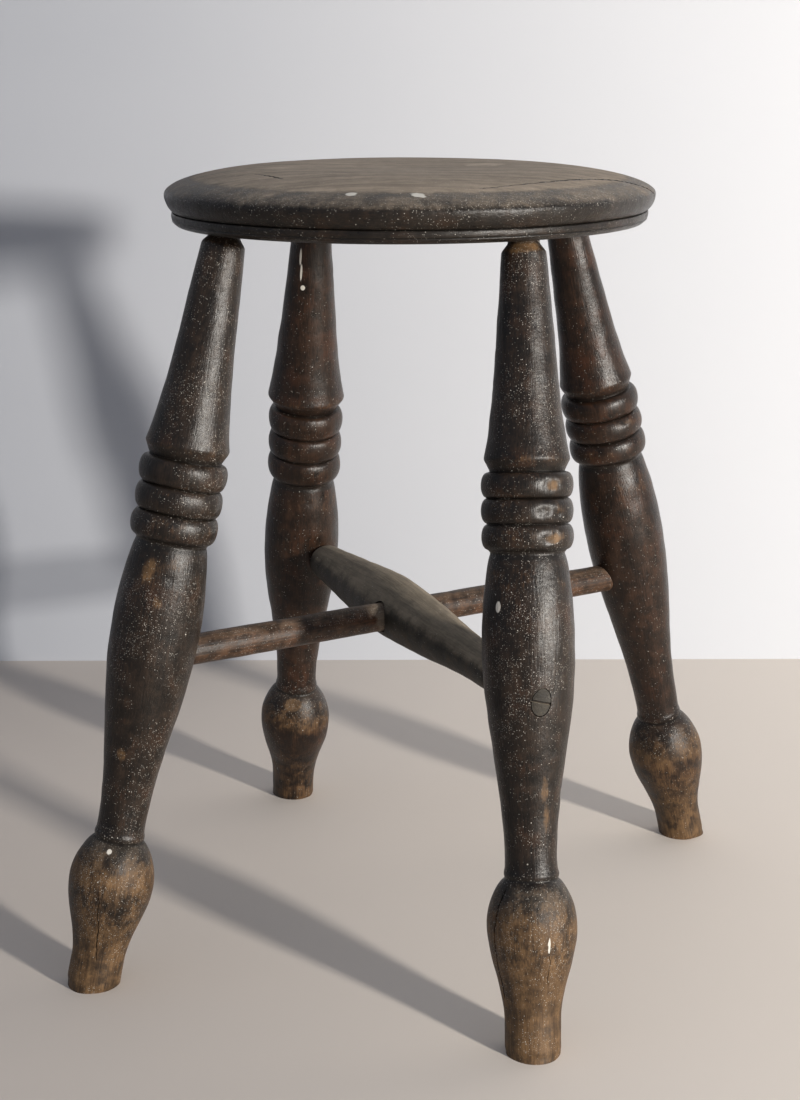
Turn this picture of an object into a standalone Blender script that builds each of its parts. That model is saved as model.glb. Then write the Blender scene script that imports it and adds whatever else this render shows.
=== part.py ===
"""A round turned stool: a domed seat on four splayed legs, braced by two crossed stretchers.

Metres, +Z up. The origin is on the floor below the middle of the seat, and the front faces -Y.
Each leg is turned by hand, so the heights of its beads and of its foot ring are its own. Its round
tenon sits in a blind socket under the seat. The barrel stretcher joins the front right leg to the
back left one: its shoulders are let a little into the legs, and wedged tenons go right through.
The rod passes through the barrel and ends in blind sockets in the other two legs.
"""

import math
from collections import namedtuple

import bmesh
import bpy
from mathutils import Matrix, Vector

# Clearance between two pieces that touch
GAP = 0.0003

# Seat: a board with a gently domed top, and a groove, a bead and a fine groove under its rim
SEAT_RADIUS = 0.165
SEAT_UNDERSIDE = 0.499
RIM_MIDDLE = 0.0193  # height of the widest line above the underside
CROWN_HEIGHT = 0.0373  # height of the level middle above the underside
CROWN_RADIUS = 0.0700  # radius of the level middle
RIM_ROUND = 0.0133  # radius of the rim's lower half
GROOVE_HEIGHT = 0.0085
SEAT_BEAD_INSET = 0.0044
FINE_GROOVE_HEIGHT = 0.0036
FINE_GROOVE_DEPTH = 0.0008
BOTTOM_EDGE_INSET = 0.0080

# Legs: where each stands, and the measures that its turner chose
SOCKET_INSET = 0.0295  # from the seat's edge to the leg's axis at the underside
MEASURES = "socket_azimuth socket_shift foot_azimuth splay ring_height bead_drop bead_pitch flare_radius"
Leg = namedtuple("Leg", MEASURES)
LEGS = {
    "front_right": Leg(-41.3, 0.0020, -53.5, 0.0989, 0.1136, 0.1688, 0.0161, 0.0266),
    "front_left": Leg(-131.8, 0.0009, -131.7, 0.1134, 0.1061, 0.1759, 0.0177, 0.0271),
    "back_left": Leg(138.1, 0.0002, 131.3, 0.1037, 0.1068, 0.1863, 0.0190, 0.0293),
    "back_right": Leg(49.9, -0.0038, 48.2, 0.1243, 0.1096, 0.1611, 0.0168, 0.0267),
}

# Turned shape of a leg: radii, and heights along its axis
FOOT_RADIUS = 0.0181
FOOT_HEIGHT = 0.019
BULB_RADIUS = 0.0288
BULB_BELOW_RING = 0.0322
RING_RADIUS = 0.0171
RING_HALF = 0.0028
RING_GROOVE_RADIUS = 0.0166
ANKLE_RADIUS = 0.0159
ANKLE_ABOVE_RING = 0.0085
BELLY_RADIUS = 0.0291
BELLY_BELOW_NECK = 0.058
NECK_RADIUS = 0.0228
NECK_BELOW_BEADS = 0.0285
BEAD_RADIUS = 0.0284
BEAD_NOTCH_RADIUS = 0.0250
BEADS = 3
V_NOTCH_RADIUS = 0.0230
V_NOTCH_ABOVE_BEADS = 0.0265
FLARE_ABOVE_BEADS = 0.035
LEG_TOP_RADIUS = 0.0137
CHAMFER_HEIGHT = 0.0085  # below the seat's underside
CHAMFER_END = 0.0035
LEG_TENON_RADIUS = 0.0097
LEG_TENON_LENGTH = 0.022

# Stretchers: they cross at one height, and the barrel's bores run beside the axes of its legs
BARREL_LEGS = ("back_left", "front_right")
ROD_LEGS = ("front_left", "back_right")
STRETCHER_HEIGHT = 0.223
ROD_RADIUS = 0.0100
ROD_IN_LEG = 0.022  # depth of the rod's blind socket
BARREL_RISE = 0.0032  # how much higher the barrel's front end is than its back end
BORE_SHIFTS = (-0.0090, 0.0046)  # sideways, in the back leg and in the front one
BARREL_RADIUS = 0.0220
BARREL_END_RADIUS = 0.0128
SWELL_POWER = 2.8  # 1 is a plain cosine, and more is a shorter swell
SWELL_SHIFT = 0.017  # from halfway towards the back leg
BARREL_ROUND = 0.011  # length over which each end rounds down to its shoulder
SHOULDER_RADIUS = 0.0088
SHOULDER_IN_LEG = 0.003
BARREL_TENON_RADIUS = 0.0068
TENON_END_INSET = 0.0006  # how far the middle of a through tenon's end lies below the leg's surface

# Wedge that spreads a through tenon, driven into a level saw kerf
WEDGE_THICK = 0.0016
WEDGE_THIN = 0.0006
WEDGE_LENGTH = 0.014
WEDGE_WIDTH = 1.84 * BARREL_TENON_RADIUS

LEG_SEGMENTS = 20
SEAT_SEGMENTS = 64
STRETCHER_SEGMENTS = 24
SMOOTH_BELOW = math.radians(38)


def clear_scene():
    for obj in list(bpy.data.objects):
        bpy.data.objects.remove(obj, do_unlink=True)


def wood(name, colour, roughness):
    """A plain wood finish."""
    material = bpy.data.materials.new(name)
    material.use_nodes = True
    shader = material.node_tree.nodes["Principled BSDF"]
    shader.inputs["Base Color"].default_value = (*colour, 1)
    shader.inputs["Roughness"].default_value = roughness
    shader.inputs["Metallic"].default_value = 0
    return material


def add_object(name, mesh, material, matrix):
    mesh.shade_smooth()
    mesh.set_sharp_from_angle(angle=SMOOTH_BELOW)
    obj = bpy.data.objects.new(name, mesh)
    obj.data.materials.append(material)
    obj.matrix_world = matrix
    bpy.context.scene.collection.objects.link(obj)
    return obj


def add_cutter(name, mesh, matrix):
    obj = bpy.data.objects.new(name, mesh)
    obj.matrix_world = matrix
    obj.hide_render = True
    obj.display_type = "WIRE"
    bpy.context.scene.collection.objects.link(obj)
    return obj


def cut(obj, cutter):
    modifier = obj.modifiers.new(cutter.name, "BOOLEAN")
    modifier.operation = "DIFFERENCE"
    modifier.solver = "EXACT"
    modifier.object = cutter


def turned_mesh(name, outline, segments):
    """The solid that an outline of (height, radius) points makes when it is turned about Z."""
    mesh = bpy.data.meshes.new(name)
    shape = bmesh.new()
    corners = [shape.verts.new((radius, 0, height)) for height, radius in outline]
    edges = [shape.edges.new(pair) for pair in zip(corners, corners[1:])]
    turn = {"cent": (0, 0, 0), "axis": (0, 0, 1), "angle": math.tau, "steps": segments}
    bmesh.ops.spin(shape, geom=corners + edges, use_merge=True, **turn)
    bmesh.ops.remove_doubles(shape, verts=shape.verts, dist=1e-6)
    bmesh.ops.recalc_face_normals(shape, faces=shape.faces)
    shape.to_mesh(mesh)
    shape.free()
    return mesh


def cylinder_mesh(name, radius, bottom, top):
    return turned_mesh(name, [(bottom, 0), (bottom, radius), (top, radius), (top, 0)], STRETCHER_SEGMENTS)


def box_mesh(name, corners):
    """A box from its eight corners: the first four round one end, the last four round the other."""
    mesh = bpy.data.meshes.new(name)
    faces = [(3, 2, 1, 0), (4, 5, 6, 7), (0, 1, 5, 4), (1, 2, 6, 5), (2, 3, 7, 6), (3, 0, 4, 7)]
    mesh.from_pydata(corners, [], faces)
    shape = bmesh.new()
    shape.from_mesh(mesh)
    bmesh.ops.recalc_face_normals(shape, faces=shape.faces)
    shape.to_mesh(mesh)
    shape.free()
    return mesh


# The curves of turned work: each gives the share of the way from the first radius to the second


def slow_both_ends(t):
    return (1 - math.cos(math.pi * t)) / 2


def full_shoulder(t):
    return math.sin(math.pi * t / 2) ** 0.7


def trumpet(t):
    return 0.75 * t + 0.25 * t**6


def sweep(start, end, curve, steps):
    """Points from start up to, and without, end. Both are (height, radius)."""
    (low, first), (high, last) = start, end
    shares = [i / steps for i in range(steps)]
    return [(low + (high - low) * t, first + (last - first) * curve(t)) for t in shares]


def arc(middle, half, edge_radius, top_radius, steps):
    """A round bead: points from its lower edge up to, and without, its upper edge."""
    rise = top_radius - edge_radius
    bend = (half**2 + rise**2) / (2 * rise)
    heights = [-half + 2 * half * i / steps for i in range(steps)]
    return [(middle + h, edge_radius + math.sqrt(bend**2 - h**2) - (bend - rise)) for h in heights]


def polar(radius, azimuth, height):
    angle = math.radians(azimuth)
    return Vector((radius * math.cos(angle), radius * math.sin(angle), height))


def leg_ends(leg):
    """The leg's axis: its point on the floor and its point in the plane of the seat's underside."""
    socket_radius = SEAT_RADIUS - SOCKET_INSET + leg.socket_shift
    foot = polar(socket_radius + leg.splay, leg.foot_azimuth, 0)
    return foot, polar(socket_radius, leg.socket_azimuth, SEAT_UNDERSIDE)


def along(start, end):
    """The frame at start whose Z points to end, and whose X stays level."""
    z = (end - start).normalized()
    x = Vector((0, 0, 1)).cross(z).normalized()
    rotation = Matrix((x, z.cross(x), z)).transposed()
    return Matrix.Translation(start) @ rotation.to_4x4()


def axis_at(leg, height):
    foot, top = leg_ends(leg)
    return foot.lerp(top, height / SEAT_UNDERSIDE)


def leg_outline(leg, length):
    """Turned shape of a leg as (height, radius) along its axis, from below the floor to its tenon."""
    ring = leg.ring_height
    bulb = (ring - BULB_BELOW_RING, BULB_RADIUS)
    beads = length - leg.bead_drop
    scale = leg.bead_pitch / 0.0175
    half_pitch = leg.bead_pitch / 2
    lowest = beads - (BEADS - 1) * half_pitch
    neck = (beads - NECK_BELOW_BEADS * scale, NECK_RADIUS)
    belly = (neck[0] - BELLY_BELOW_NECK, BELLY_RADIUS)
    flare = (beads + FLARE_ABOVE_BEADS * scale, leg.flare_radius)
    chamfer = (length - CHAMFER_HEIGHT, LEG_TOP_RADIUS)
    below_floor = -FOOT_RADIUS
    points = [(below_floor, 0), (below_floor, FOOT_RADIUS)]
    points += sweep((FOOT_HEIGHT, FOOT_RADIUS), bulb, slow_both_ends, 5)
    points += sweep(bulb, (ring - RING_HALF, RING_GROOVE_RADIUS), lambda t: 1 - full_shoulder(1 - t), 4)
    points += arc(ring, RING_HALF, RING_GROOVE_RADIUS, RING_RADIUS, 2)
    points += [(ring + RING_HALF, RING_GROOVE_RADIUS)]
    points += sweep((ring + ANKLE_ABOVE_RING, ANKLE_RADIUS), belly, slow_both_ends, 7)
    points += sweep(belly, neck, lambda t: 1 - full_shoulder(1 - t), 4)
    points += [neck]
    for i in range(BEADS):
        middle = lowest + i * leg.bead_pitch
        points += arc(middle, half_pitch, BEAD_NOTCH_RADIUS, BEAD_RADIUS, 4)
    points += [(lowest + (2 * BEADS - 1) * half_pitch, BEAD_NOTCH_RADIUS)]
    points += [(beads + V_NOTCH_ABOVE_BEADS * scale, V_NOTCH_RADIUS)]
    points += sweep(flare, chamfer, lambda t: 1 - trumpet(1 - t), 6)
    points += [chamfer, (length - CHAMFER_END, LEG_TENON_RADIUS)]
    return points + [(length + LEG_TENON_LENGTH, LEG_TENON_RADIUS), (length + LEG_TENON_LENGTH, 0)]


def radius_at(outline, height):
    """The radius of an outline at a height."""
    for (low, first), (high, last) in zip(outline, outline[1:]):
        if low <= height < high:
            return first + (last - first) * (height - low) / (high - low)
    return 0.0


def slice_off(mesh, matrix, point, outward):
    """Cuts off all of the mesh that lies beyond a plane through point. The frame of the mesh is matrix."""
    to_mesh = matrix.inverted()
    shape = bmesh.new()
    shape.from_mesh(mesh)
    plane = {"plane_co": to_mesh @ point, "plane_no": to_mesh.to_3x3() @ outward}
    geometry = shape.verts[:] + shape.edges[:] + shape.faces[:]
    cut_line = bmesh.ops.bisect_plane(shape, geom=geometry, clear_outer=True, **plane)["geom_cut"]
    bmesh.ops.edgeloop_fill(shape, edges=[e for e in cut_line if isinstance(e, bmesh.types.BMEdge)])
    bmesh.ops.recalc_face_normals(shape, faces=shape.faces)
    shape.to_mesh(mesh)
    shape.free()


def make_leg(name, leg, material):
    foot, top = leg_ends(leg)
    matrix = along(foot, top)
    mesh = turned_mesh("leg_" + name, leg_outline(leg, (top - foot).length), LEG_SEGMENTS)
    slice_off(mesh, matrix, Vector((0, 0, 0)), Vector((0, 0, -1)))
    return add_object("leg_" + name, mesh, material, matrix)


def leg_surface(leg, start, direction):
    """Where a line that starts inside the leg comes out of it, and the outward normal there."""
    foot, top = leg_ends(leg)
    axis = (top - foot).normalized()
    outline = leg_outline(leg, (top - foot).length)
    inside, outside = 0.0, 2 * BULB_RADIUS
    for _ in range(40):
        middle = (inside + outside) / 2
        height = (start + direction * middle - foot).dot(axis)
        radial = start + direction * middle - foot - axis * height
        if radial.length < radius_at(outline, height):
            inside = middle
        else:
            outside = middle
    step = 0.002
    slope = (radius_at(outline, height + step) - radius_at(outline, height - step)) / (2 * step)
    return start + direction * inside, (radial.normalized() - axis * slope).normalized()


def seat_outline():
    """Turned shape of the seat as (height, radius) above its underside."""
    bead_radius = SEAT_RADIUS - SEAT_BEAD_INSET
    fine_radius = bead_radius - FINE_GROOVE_DEPTH
    bead_half = (GROOVE_HEIGHT - FINE_GROOVE_HEIGHT) / 2
    points = [(0, 0), (0, SEAT_RADIUS - BOTTOM_EDGE_INSET), (FINE_GROOVE_HEIGHT * 0.4, fine_radius - 0.0014)]
    points += [(FINE_GROOVE_HEIGHT * 0.8, bead_radius - 0.0004)]
    points += arc(FINE_GROOVE_HEIGHT + bead_half, bead_half, fine_radius, bead_radius, 3)
    start = math.asin((GROOVE_HEIGHT - RIM_MIDDLE) / RIM_ROUND)
    steps = 5
    for i in range(steps):
        angle = start * (1 - i / steps)
        radius = SEAT_RADIUS - RIM_ROUND * (1 - math.cos(angle))
        points.append((RIM_MIDDLE + RIM_ROUND * math.sin(angle), radius))
    steps = 10
    for i in range(steps + 1):
        angle = math.pi / 2 * i / steps
        radius = CROWN_RADIUS + (SEAT_RADIUS - CROWN_RADIUS) * math.cos(angle)
        points.append((RIM_MIDDLE + (CROWN_HEIGHT - RIM_MIDDLE) * math.sin(angle), radius))
    return points + [(CROWN_HEIGHT, 0)]


def make_seat(material):
    matrix = Matrix.Translation((0, 0, SEAT_UNDERSIDE))
    seat = add_object("seat", turned_mesh("seat", seat_outline(), SEAT_SEGMENTS), material, matrix)
    for name, leg in LEGS.items():
        foot, top = leg_ends(leg)
        depth = LEG_TENON_LENGTH + GAP
        mesh = cylinder_mesh("seat_socket_" + name, LEG_TENON_RADIUS + GAP, -LEG_TENON_LENGTH, depth)
        matrix = Matrix.Translation(top - foot) @ along(foot, top)
        cut(seat, add_cutter("seat_socket_" + name, mesh, matrix))
    return seat


def stretcher_frame(first, second, rise=0, shifts=(0, 0)):
    """The frame at the middle of a stretcher, with Z along it, and the distance from there to each leg."""
    start = axis_at(LEGS[first], STRETCHER_HEIGHT - rise / 2)
    end = axis_at(LEGS[second], STRETCHER_HEIGHT + rise / 2)
    sideways = (end - start).cross(Vector((0, 0, 1))).normalized()
    start += sideways * shifts[0]
    end += sideways * shifts[1]
    return along(start.lerp(end, 0.5), end), (end - start).length / 2


def in_and_out(name, matrix, reach, direction):
    """Where a stretcher enters and leaves a leg, as distances from its middle, and the normal outside."""
    start = matrix @ Vector((0, 0, direction * reach))
    onward = matrix.to_3x3() @ Vector((0, 0, direction))
    entry, _ = leg_surface(LEGS[name], start, -onward)
    leaving, normal = leg_surface(LEGS[name], start, onward)
    return reach - (entry - start).length, reach + (leaving - start).length, leaving, normal


def barrel_outline(reach, entries, ends, room):
    """Turned shape of the barrel along its own axis, from the back tenon to the front one, grown by room."""
    back, front = BARREL_LEGS
    low = -entries[back] - SHOULDER_IN_LEG - room
    high = entries[front] + SHOULDER_IN_LEG + room
    rounding, steps = 4, 14
    shares = [i / rounding for i in range(rounding)]
    body = high - low - 2 * BARREL_ROUND
    places = [low + BARREL_ROUND * share for share in shares]
    places += [low + BARREL_ROUND + body * i / steps for i in range(steps + 1)]
    places += [high - BARREL_ROUND * share for share in reversed(shares)]
    outline = [(-ends[back], 0), (-ends[back], BARREL_TENON_RADIUS + room), (low, BARREL_TENON_RADIUS + room)]
    for place in places:
        swell = max(math.cos(math.pi / 2 * (place + SWELL_SHIFT) / reach), 0) ** SWELL_POWER
        radius = BARREL_END_RADIUS + (BARREL_RADIUS - BARREL_END_RADIUS) * swell
        share = full_shoulder(min((place - low) / BARREL_ROUND, (high - place) / BARREL_ROUND, 1))
        outline.append((place, SHOULDER_RADIUS + (radius - SHOULDER_RADIUS) * share + room))
    outline += [(high, BARREL_TENON_RADIUS + room), (ends[front], BARREL_TENON_RADIUS + room)]
    return outline + [(ends[front], 0)]


def wedge_mesh(name, end, direction, room):
    """A wedge along Z whose thick end is at end. With room it is grown, to cut the kerf that holds it."""
    deep = end - direction * (WEDGE_LENGTH + room)
    corners = []
    for place, thickness in ((end, WEDGE_THICK), (deep, WEDGE_THIN)):
        x = WEDGE_WIDTH / 2 + (2 * BARREL_TENON_RADIUS if room else 0)
        y = thickness / 2 + room
        corners += [(-x, -y, place), (x, -y, place), (x, y, place), (-x, y, place)]
    return box_mesh(name, corners)


def make_barrel(wood_barrel, wood_wedge, legs):
    """The barrel stretcher, the wedges in its tenons, and the bore that it needs in each of two legs."""
    back, front = BARREL_LEGS
    matrix, reach = stretcher_frame(back, front, BARREL_RISE, BORE_SHIFTS)
    sides = {back: -1, front: 1}
    meets = {name: in_and_out(name, matrix, reach, side) for name, side in sides.items()}
    entries = {name: meet[0] for name, meet in meets.items()}
    past = {name: meet[1] + BARREL_TENON_RADIUS for name, meet in meets.items()}
    planes = {name: (meet[2] - meet[3] * TENON_END_INSET, meet[3]) for name, meet in meets.items()}
    mesh = turned_mesh("stretcher_barrel", barrel_outline(reach, entries, past, 0), STRETCHER_SEGMENTS)
    for plane in planes.values():
        slice_off(mesh, matrix, *plane)
    barrel = add_object("stretcher_barrel", mesh, wood_barrel, matrix)
    bore = turned_mesh("barrel_bore", barrel_outline(reach, entries, past, GAP), STRETCHER_SEGMENTS)
    bore = add_cutter("barrel_bore", bore, matrix)
    for name, side in sides.items():
        cut(legs[name], bore)
        wedge = wedge_mesh("wedge_" + name, side * past[name], side, 0)
        slice_off(wedge, matrix, *planes[name])
        add_object("wedge_" + name, wedge, wood_wedge, matrix)
        kerf = wedge_mesh("kerf_" + name, side * past[name], side, GAP)
        cut(barrel, add_cutter("kerf_" + name, kerf, matrix))
    return barrel


def make_rod(material, legs, barrel):
    """The rod, its blind sockets in two legs, and its hole through the barrel."""
    left, right = ROD_LEGS
    matrix, reach = stretcher_frame(left, right)
    sides = {left: -1, right: 1}
    stops = {name: in_and_out(name, matrix, reach, side)[0] + ROD_IN_LEG for name, side in sides.items()}
    mesh = cylinder_mesh("stretcher_rod", ROD_RADIUS, -stops[left], stops[right])
    add_object("stretcher_rod", mesh, material, matrix)
    for name, side in sides.items():
        low, high = sorted((side * (reach - 2 * BULB_RADIUS), side * (stops[name] + GAP)))
        socket = cylinder_mesh("socket_" + name, ROD_RADIUS + GAP, low, high)
        cut(legs[name], add_cutter("socket_" + name, socket, matrix))
    hole = cylinder_mesh("rod_hole", ROD_RADIUS + GAP, -2 * BARREL_RADIUS, 2 * BARREL_RADIUS)
    cut(barrel, add_cutter("rod_hole", hole, matrix))


def main():
    clear_scene()
    dusty = wood("seat_wood", (0.11, 0.09, 0.07), 0.65)
    dark = wood("leg_wood", (0.035, 0.022, 0.015), 0.38)
    grey = wood("barrel_wood", (0.10, 0.085, 0.07), 0.75)
    brown = wood("rod_wood", (0.06, 0.035, 0.024), 0.5)
    pale = wood("wedge_wood", (0.08, 0.05, 0.03), 0.7)
    make_seat(dusty)
    legs = {name: make_leg(name, leg, dark) for name, leg in LEGS.items()}
    barrel = make_barrel(grey, pale, legs)
    make_rod(brown, legs, barrel)


main()
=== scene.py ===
"""The looks of an old turned stool: fine turned meshes with real cracks and dents, and aged wood.

Metres, +Z up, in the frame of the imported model. Every CAD node is replaced by a finer piece of the same size.
"""

import math
import random
from collections import namedtuple
from contextlib import contextmanager

import bmesh
import bpy
import numpy as np
from mathutils import Euler, Matrix, Vector


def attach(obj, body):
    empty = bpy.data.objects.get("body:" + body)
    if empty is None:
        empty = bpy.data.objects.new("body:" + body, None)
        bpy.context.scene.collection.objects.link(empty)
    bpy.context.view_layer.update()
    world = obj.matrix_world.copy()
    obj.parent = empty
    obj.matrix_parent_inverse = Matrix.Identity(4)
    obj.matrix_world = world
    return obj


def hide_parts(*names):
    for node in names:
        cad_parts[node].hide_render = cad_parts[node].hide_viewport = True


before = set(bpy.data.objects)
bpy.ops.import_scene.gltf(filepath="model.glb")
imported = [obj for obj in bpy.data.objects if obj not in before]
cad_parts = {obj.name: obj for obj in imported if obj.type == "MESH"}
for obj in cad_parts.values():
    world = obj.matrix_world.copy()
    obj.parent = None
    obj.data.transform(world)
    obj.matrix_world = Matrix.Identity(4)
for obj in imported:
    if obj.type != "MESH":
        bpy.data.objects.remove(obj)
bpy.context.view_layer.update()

# Seat
SEAT_SHIFT = (0.0012, 0.0019)  # how far the seat's middle lies off the model's
SEAT_RADIUS = 0.165
SEAT_UNDERSIDE = 0.499
RIM_MIDDLE = 0.0193
CROWN_HEIGHT = 0.0373
CROWN_RADIUS = 0.0700
HOLLOW_DEPTH = 0.0012  # how far years of use have sunk the seat's middle
RIM_ROUND = 0.0133
GROOVE_HEIGHT = 0.0085
SEAT_BEAD_INSET = 0.0044
FINE_GROOVE_HEIGHT = 0.0036
FINE_GROOVE_DEPTH = 0.0008
BOTTOM_EDGE_INSET = 0.0080
DUST_EDGE = 0.1440  # radius where the dusty top gives way to the polished rim
RIM_EDGE = 0.138  # radius beyond which the seat keeps all its rows of points

# Legs
SOCKET_INSET = 0.0295
MEASURES = "socket_azimuth socket_shift foot_azimuth splay ring_height bead_drop bead_pitch flare_radius"
Leg = namedtuple("Leg", MEASURES)
LEGS = {
    "front_right": Leg(-41.3, 0.0020, -53.5, 0.0989, 0.1136, 0.1688, 0.0161, 0.0266),
    "front_left": Leg(-131.8, 0.0009, -131.7, 0.1134, 0.1061, 0.1759, 0.0177, 0.0271),
    "back_left": Leg(138.1, 0.0002, 131.3, 0.1037, 0.1068, 0.1863, 0.0190, 0.0293),
    "back_right": Leg(49.9, -0.0038, 48.2, 0.1243, 0.1096, 0.1611, 0.0168, 0.0267),
}
FOOT_RADIUS = 0.0181
FOOT_HEIGHT = 0.019
BULB_RADIUS = 0.0288
BULB_BELOW_RING = 0.0322
RING_RADIUS = 0.0171
RING_HALF = 0.0028
RING_GROOVE_RADIUS = 0.0162
ANKLE_RADIUS = 0.0159
ANKLE_ABOVE_RING = 0.0085
BELLY_RADIUS = 0.0291
BELLY_BELOW_NECK = 0.058
NECK_RADIUS = 0.0228
NECK_BELOW_BEADS = 0.0285
BEAD_RADIUS = 0.0285
BEAD_NOTCH_RADIUS = 0.0243
BEADS = 3
V_NOTCH_RADIUS = 0.0228
V_NOTCH_ABOVE_BEADS = 0.0265
FLARE_ABOVE_BEADS = 0.035
LEG_TOP_RADIUS = 0.0137
CHAMFER_HEIGHT = 0.0085
CHAMFER_END = 0.0035
LEG_TENON_RADIUS = 0.0097
LEG_IN_SEAT = 0.004  # the finer legs end just inside the seat

# Stretchers
STRETCHER_HEIGHT = 0.223
ROD_RADIUS = 0.0100
ROD_MOUTH_RADIUS = 0.0112  # the hole in the barrel where the rod comes out
ROD_IN_LEG = 0.008
ROD_DUST = 0.0300  # how far from its middle the rod is dusty, beside the barrel
BARREL_RISE = 0.0032
BORE_SHIFTS = (-0.0090, 0.0046)
BARREL_RADIUS = 0.0220
BARREL_END_RADIUS = 0.0128
SWELL_POWER = 2.8
SWELL_SHIFT = 0.017
BARREL_ROUND = 0.011
SHOULDER_RADIUS = 0.0088
SHOULDER_IN_LEG = 0.003
TENON_HALF_WIDTH = 0.0058
TENON_HALF_HEIGHT = 0.0086
TENON_GAP = 0.0005
TENON_REACH = 0.0215  # from the leg's axis to just short of the tenon's flush end
HOLE_START = 0.018  # from the leg's axis to the inner end of the hole around the tenon's end
HOLE_LENGTH = 0.050
PATCH_SINK = 0.0002  # how far the tenon's end lies below the leg's surface
WEDGE_SINK = 0.0009
WEDGE_HALF = 0.0003
KERF_HALF = 0.00055  # the sawn slot for the wedge, in the tenon's end
KERF_DEPTH = 0.0022
WEDGE_TILT = math.radians(-14)  # how far both tenons and wedges turn about the barrel's axis

# Camera: where it stands, how far it turns from +Y, looks down and leans, and its lens
CAMERA_PLACE = (0.3979, -1.2911, 0.622)
CAMERA_TURN = math.radians(17.37)
CAMERA_DOWN = math.radians(14.65)
CAMERA_ROLL = math.radians(-0.15)
CAMERA_LENS = 64.73
WALL_DISTANCE = 0.583  # behind the stool, along the camera's view


# Turned profiles, as (height, radius) points


def slow_both_ends(t):
    return (1 - math.cos(math.pi * t)) / 2


def full_shoulder(t):
    return math.sin(math.pi * t / 2) ** 0.7


def trumpet(t):
    return 0.75 * t + 0.25 * t**6


def sweep(start, end, curve, steps=24):
    (low, first), (high, last) = start, end
    shares = [i / steps for i in range(steps)]
    return [(low + (high - low) * t, first + (last - first) * curve(t)) for t in shares]


def arc(middle, half, edge_radius, top_radius, steps=12):
    rise = top_radius - edge_radius
    bend = (half**2 + rise**2) / (2 * rise)
    heights = [-half + 2 * half * i / steps for i in range(steps)]
    return [(middle + h, edge_radius + math.sqrt(bend**2 - h**2) - (bend - rise)) for h in heights]


def bead(middle, half, edge_radius, top_radius, steps=16):
    """A full round bead: half an ellipse from its lower edge up to, and without, its upper edge."""
    angles = [math.pi * (i / steps - 0.5) for i in range(steps)]
    rise = top_radius - edge_radius
    return [(middle + half * math.sin(a), edge_radius + rise * math.cos(a) ** 0.9) for a in angles]


def leg_outline(leg, length):
    ring = leg.ring_height
    bulb = (ring - BULB_BELOW_RING, BULB_RADIUS)
    beads = length - leg.bead_drop
    scale = leg.bead_pitch / 0.0175
    half_pitch = leg.bead_pitch / 2
    lowest = beads - (BEADS - 1) * half_pitch
    neck = (beads - NECK_BELOW_BEADS * scale, NECK_RADIUS)
    belly = (neck[0] - BELLY_BELOW_NECK, BELLY_RADIUS)
    flare = (beads + FLARE_ABOVE_BEADS * scale, leg.flare_radius)
    chamfer = (length - CHAMFER_HEIGHT, LEG_TOP_RADIUS)
    points = [(-FOOT_RADIUS, FOOT_RADIUS)]
    points += sweep((FOOT_HEIGHT, FOOT_RADIUS), bulb, slow_both_ends)
    points += sweep(bulb, (ring - RING_HALF, RING_GROOVE_RADIUS), lambda t: 1 - full_shoulder(1 - t))
    points += arc(ring, RING_HALF, RING_GROOVE_RADIUS, RING_RADIUS)
    points += [(ring + RING_HALF, RING_GROOVE_RADIUS)]
    points += sweep((ring + ANKLE_ABOVE_RING, ANKLE_RADIUS), belly, slow_both_ends)
    points += sweep(belly, neck, lambda t: 1 - full_shoulder(1 - t))
    points += [neck]
    for i in range(BEADS):
        points += bead(lowest + i * leg.bead_pitch, half_pitch, BEAD_NOTCH_RADIUS, BEAD_RADIUS)
    points += [(lowest + (2 * BEADS - 1) * half_pitch, BEAD_NOTCH_RADIUS)]
    points += [(beads + V_NOTCH_ABOVE_BEADS * scale, V_NOTCH_RADIUS)]
    points += sweep(flare, chamfer, lambda t: 1 - trumpet(1 - t))
    points += [chamfer, (length - CHAMFER_END, LEG_TENON_RADIUS)]
    return points + [(length + LEG_IN_SEAT, LEG_TENON_RADIUS)]


def seat_outline():
    bead_radius = SEAT_RADIUS - SEAT_BEAD_INSET
    fine_radius = bead_radius - FINE_GROOVE_DEPTH
    bead_half = (GROOVE_HEIGHT - FINE_GROOVE_HEIGHT) / 2
    points = [(0, 0), (0, SEAT_RADIUS - BOTTOM_EDGE_INSET), (FINE_GROOVE_HEIGHT * 0.4, fine_radius - 0.0010)]
    points += [(FINE_GROOVE_HEIGHT * 0.8, bead_radius - 0.0003), (FINE_GROOVE_HEIGHT, fine_radius - 0.0003)]
    points += bead(FINE_GROOVE_HEIGHT + bead_half, bead_half, fine_radius, bead_radius, 12)
    start = math.asin((GROOVE_HEIGHT - RIM_MIDDLE) / RIM_ROUND)
    points += [(GROOVE_HEIGHT - 0.0004, bead_radius - 0.0026), (GROOVE_HEIGHT + 0.0004, bead_radius - 0.0028)]
    for i in range(20):
        angle = start * (1 - i / 20)
        radius = SEAT_RADIUS - RIM_ROUND * (1 - math.cos(angle))
        points.append((RIM_MIDDLE + RIM_ROUND * math.sin(angle), radius))
    for i in range(41):
        angle = math.pi / 2 * i / 40
        radius = CROWN_RADIUS + (SEAT_RADIUS - CROWN_RADIUS) * math.cos(angle)
        points.append((RIM_MIDDLE + (CROWN_HEIGHT - RIM_MIDDLE) * math.sin(angle), radius))
    for i in range(1, 9):
        share = i / 8
        points.append((CROWN_HEIGHT - HOLLOW_DEPTH * slow_both_ends(share), CROWN_RADIUS * (1 - share)))
    return points


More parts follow.
